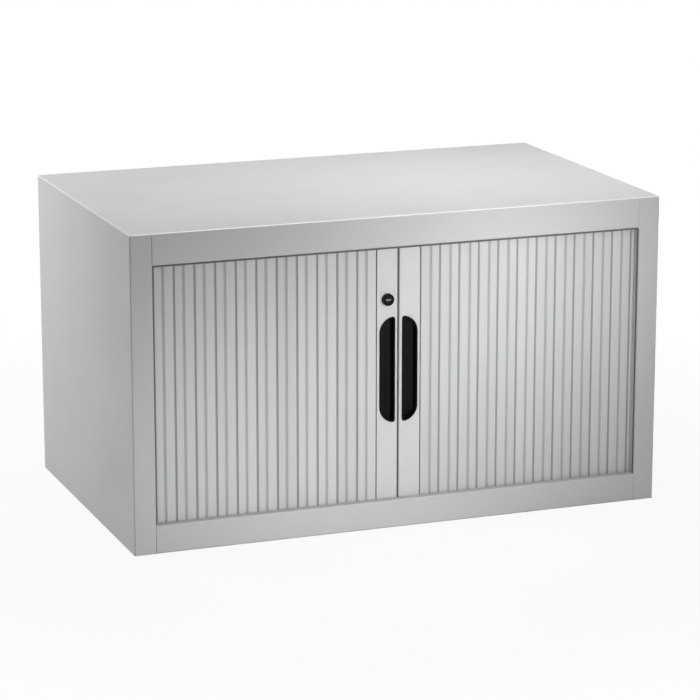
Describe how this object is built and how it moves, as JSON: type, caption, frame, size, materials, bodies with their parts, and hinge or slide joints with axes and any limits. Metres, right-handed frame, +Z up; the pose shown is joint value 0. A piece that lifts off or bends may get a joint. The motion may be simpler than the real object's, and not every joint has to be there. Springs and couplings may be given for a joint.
{
  "type": "roll front tool cabinet",
  "caption": "Wide steel cabinet whose front closes with two sideways running slatted roll fronts, with recessed grips and a turning lock.",
  "frame": {"origin": "middle of the underside, on the surface that the cabinet stands on", "axes": "+X to the right as seen from the front, +Y to the back, +Z up"},
  "size_m": [1, 0.6, 0.57],
  "materials": {
    "carcass": "light grey fine-texture powder coat",
    "inner_steel": "light grey powder coat, inner walls and shelf",
    "painted_rivet": "painted over flush rivet",
    "slat_plastic": "light grey satin extruded plastic",
    "lead_slat": "light grey powder coated profile",
    "grip_plastic": "black moulded plastic",
    "shoe_plastic": "black low-friction plastic",
    "corner_plastic": "dark grey moulded plastic",
    "rail": "natural anodised extrusion",
    "stop_rubber": "black rubber",
    "seal_rubber": "black rubber strip",
    "zinc_steel": "bright zinc plated steel",
    "lock_black": "black coated die casting",
    "lock_plug": "satin nickel, darkened"
  },
  "bodies": {
    "carcass": {"back_panel": "carcass", "back_rivets": "painted_rivet", "bottom_guide_rail": "rail", "bottom_panel": "carcass", "centre_stops": "stop_rubber", "corner_guides": "corner_plastic", "end_stops": "stop_rubber", "header_seal": "seal_rubber", "left_liner": "inner_steel", "left_side_panel": "carcass", "liner_nuts": "zinc_steel", "rail_nuts": "zinc_steel", "right_liner": "inner_steel", "right_side_panel": "carcass", "shelf": "inner_steel", "shelf_clips": "zinc_steel", "side_guides": "rail", "stile_lips": "seal_rubber", "top_guide_rail": "rail", "top_panel": "carcass"},
    "left_lead": {"left_lead_slat": "lead_slat", "left_grip": "grip_plastic", "left_guide_shoes": "shoe_plastic", "lock_housing": "lock_black", "lock_nut": "zinc_steel"},
    "right_lead": {"right_lead_slat": "lead_slat", "right_grip": "grip_plastic", "right_guide_shoes": "shoe_plastic", "strike_plate": "zinc_steel", "strike_screws": "zinc_steel"},
    "lock_turning": {"lock_plug": "lock_plug", "key_shutter": "zinc_steel", "lock_hook": "zinc_steel", "hook_screw": "zinc_steel"},
    "left_slat_01": {"left_slat_01": "slat_plastic"},
    "left_slat_02": {"left_slat_02": "slat_plastic"},
    "left_slat_03": {"left_slat_03": "slat_plastic"},
    "left_slat_04": {"left_slat_04": "slat_plastic"},
    "left_slat_05": {"left_slat_05": "slat_plastic"},
    "left_slat_06": {"left_slat_06": "slat_plastic"},
    "left_slat_07": {"left_slat_07": "slat_plastic"},
    "left_slat_08": {"left_slat_08": "slat_plastic"},
    "left_slat_09": {"left_slat_09": "slat_plastic"},
    "left_slat_10": {"left_slat_10": "slat_plastic"},
    "left_slat_11": {"left_slat_11": "slat_plastic"},
    "left_slat_12": {"left_slat_12": "slat_plastic"},
    "right_slat_01": {"right_slat_01": "slat_plastic"},
    "right_slat_02": {"right_slat_02": "slat_plastic"},
    "right_slat_03": {"right_slat_03": "slat_plastic"},
    "right_slat_04": {"right_slat_04": "slat_plastic"},
    "right_slat_05": {"right_slat_05": "slat_plastic"},
    "right_slat_06": {"right_slat_06": "slat_plastic"},
    "right_slat_07": {"right_slat_07": "slat_plastic"},
    "right_slat_08": {"right_slat_08": "slat_plastic"},
    "right_slat_09": {"right_slat_09": "slat_plastic"},
    "right_slat_10": {"right_slat_10": "slat_plastic"},
    "right_slat_11": {"right_slat_11": "slat_plastic"},
    "right_slat_12": {"right_slat_12": "slat_plastic"}
  },
  "joints": [
    {"name": "left_front_slide", "type": "slide", "parent": "carcass", "child": "left_lead", "axis": [-1, 0, 0], "range_m": [0, 0.412]},
    {"name": "right_front_slide", "type": "slide", "parent": "carcass", "child": "right_lead", "axis": [1, 0, 0], "range_m": [0, 0.412]},
    {"name": "lock_turn", "type": "hinge", "parent": "left_lead", "child": "lock_turning", "pos_m": [-0.0215, -0.272, 0.416], "axis": [0, 1, 0], "range_deg": [0, 90]},
    {"name": "left_slat_01_slide", "type": "slide", "parent": "carcass", "child": "left_slat_01", "axis": [-0.998, 0.0638, 0], "range_m": [0, 0.40833]},
    {"name": "left_slat_02_slide", "type": "slide", "parent": "carcass", "child": "left_slat_02", "axis": [-0.9965, 0.0833, 0], "range_m": [0, 0.37258]},
    {"name": "left_slat_03_slide", "type": "slide", "parent": "carcass", "child": "left_slat_03", "axis": [-0.9943, 0.107, 0], "range_m": [0, 0.33701]},
    {"name": "left_slat_04_slide", "type": "slide", "parent": "carcass", "child": "left_slat_04", "axis": [-0.9907, 0.1361, 0], "range_m": [0, 0.30168]},
    {"name": "left_slat_05_slide", "type": "slide", "parent": "carcass", "child": "left_slat_05", "axis": [-0.985, 0.1728, 0], "range_m": [0, 0.26667]},
    {"name": "left_slat_06_slide", "type": "slide", "parent": "carcass", "child": "left_slat_06", "axis": [-0.9755, 0.2202, 0], "range_m": [0, 0.23214]},
    {"name": "left_slat_07_slide", "type": "slide", "parent": "carcass", "child": "left_slat_07", "axis": [-0.9591, 0.2831, 0], "range_m": [0, 0.19834]},
    {"name": "left_slat_08_slide", "type": "slide", "parent": "carcass", "child": "left_slat_08", "axis": [-0.9293, 0.3692, 0], "range_m": [0, 0.16571]},
    {"name": "left_slat_09_slide", "type": "slide", "parent": "carcass", "child": "left_slat_09", "axis": [-0.8716, 0.4903, 0], "range_m": [0, 0.13512]},
    {"name": "left_slat_10_slide", "type": "slide", "parent": "carcass", "child": "left_slat_10", "axis": [-0.7525, 0.6586, 0], "range_m": [0, 0.1083]},
    {"name": "left_slat_11_slide", "type": "slide", "parent": "carcass", "child": "left_slat_11", "axis": [-0.5087, 0.8609, 0], "range_m": [0, 0.08878]},
    {"name": "left_slat_12_slide", "type": "slide", "parent": "carcass", "child": "left_slat_12", "axis": [-0.1068, 0.9943, 0], "range_m": [0, 0.08197]},
    {"name": "right_slat_01_slide", "type": "slide", "parent": "carcass", "child": "right_slat_01", "axis": [0.998, 0.0638, 0], "range_m": [0, 0.40833]},
    {"name": "right_slat_02_slide", "type": "slide", "parent": "carcass", "child": "right_slat_02", "axis": [0.9965, 0.0833, 0], "range_m": [0, 0.37258]},
    {"name": "right_slat_03_slide", "type": "slide", "parent": "carcass", "child": "right_slat_03", "axis": [0.9943, 0.107, 0], "range_m": [0, 0.33701]},
    {"name": "right_slat_04_slide", "type": "slide", "parent": "carcass", "child": "right_slat_04", "axis": [0.9907, 0.1361, 0], "range_m": [0, 0.30168]},
    {"name": "right_slat_05_slide", "type": "slide", "parent": "carcass", "child": "right_slat_05", "axis": [0.985, 0.1728, 0], "range_m": [0, 0.26667]},
    {"name": "right_slat_06_slide", "type": "slide", "parent": "carcass", "child": "right_slat_06", "axis": [0.9755, 0.2202, 0], "range_m": [0, 0.23214]},
    {"name": "right_slat_07_slide", "type": "slide", "parent": "carcass", "child": "right_slat_07", "axis": [0.9591, 0.2831, 0], "range_m": [0, 0.19834]},
    {"name": "right_slat_08_slide", "type": "slide", "parent": "carcass", "child": "right_slat_08", "axis": [0.9293, 0.3692, 0], "range_m": [0, 0.16571]},
    {"name": "right_slat_09_slide", "type": "slide", "parent": "carcass", "child": "right_slat_09", "axis": [0.8716, 0.4903, 0], "range_m": [0, 0.13512]},
    {"name": "right_slat_10_slide", "type": "slide", "parent": "carcass", "child": "right_slat_10", "axis": [0.7525, 0.6586, 0], "range_m": [0, 0.1083]},
    {"name": "right_slat_11_slide", "type": "slide", "parent": "carcass", "child": "right_slat_11", "axis": [0.5087, 0.8609, 0], "range_m": [0, 0.08878]},
    {"name": "right_slat_12_slide", "type": "slide", "parent": "carcass", "child": "right_slat_12", "axis": [0.1068, 0.9943, 0], "range_m": [0, 0.08197]}
  ],
  "couplings": [
    {"joint": "left_slat_01_slide", "follows": "left_front_slide", "ratio": 0.98988},
    {"joint": "left_slat_02_slide", "follows": "left_front_slide", "ratio": 0.90312},
    {"joint": "left_slat_03_slide", "follows": "left_front_slide", "ratio": 0.81678},
    {"joint": "left_slat_04_slide", "follows": "left_front_slide", "ratio": 0.73101},
    {"joint": "left_slat_05_slide", "follows": "left_front_slide", "ratio": 0.64604},
    {"joint": "left_slat_06_slide", "follows": "left_front_slide", "ratio": 0.56223},
    {"joint": "left_slat_07_slide", "follows": "left_front_slide", "ratio": 0.48019},
    {"joint": "left_slat_08_slide", "follows": "left_front_slide", "ratio": 0.401},
    {"joint": "left_slat_09_slide", "follows": "left_front_slide", "ratio": 0.32674},
    {"joint": "left_slat_10_slide", "follows": "left_front_slide", "ratio": 0.26165},
    {"joint": "left_slat_11_slide", "follows": "left_front_slide", "ratio": 0.21426},
    {"joint": "left_slat_12_slide", "follows": "left_front_slide", "ratio": 0.19773},
    {"joint": "right_slat_01_slide", "follows": "right_front_slide", "ratio": 0.98988},
    {"joint": "right_slat_02_slide", "follows": "right_front_slide", "ratio": 0.90312},
    {"joint": "right_slat_03_slide", "follows": "right_front_slide", "ratio": 0.81678},
    {"joint": "right_slat_04_slide", "follows": "right_front_slide", "ratio": 0.73101},
    {"joint": "right_slat_05_slide", "follows": "right_front_slide", "ratio": 0.64604},
    {"joint": "right_slat_06_slide", "follows": "right_front_slide", "ratio": 0.56223},
    {"joint": "right_slat_07_slide", "follows": "right_front_slide", "ratio": 0.48019},
    {"joint": "right_slat_08_slide", "follows": "right_front_slide", "ratio": 0.401},
    {"joint": "right_slat_09_slide", "follows": "right_front_slide", "ratio": 0.32674},
    {"joint": "right_slat_10_slide", "follows": "right_front_slide", "ratio": 0.26165},
    {"joint": "right_slat_11_slide", "follows": "right_front_slide", "ratio": 0.21426},
    {"joint": "right_slat_12_slide", "follows": "right_front_slide", "ratio": 0.19773}
  ]
}
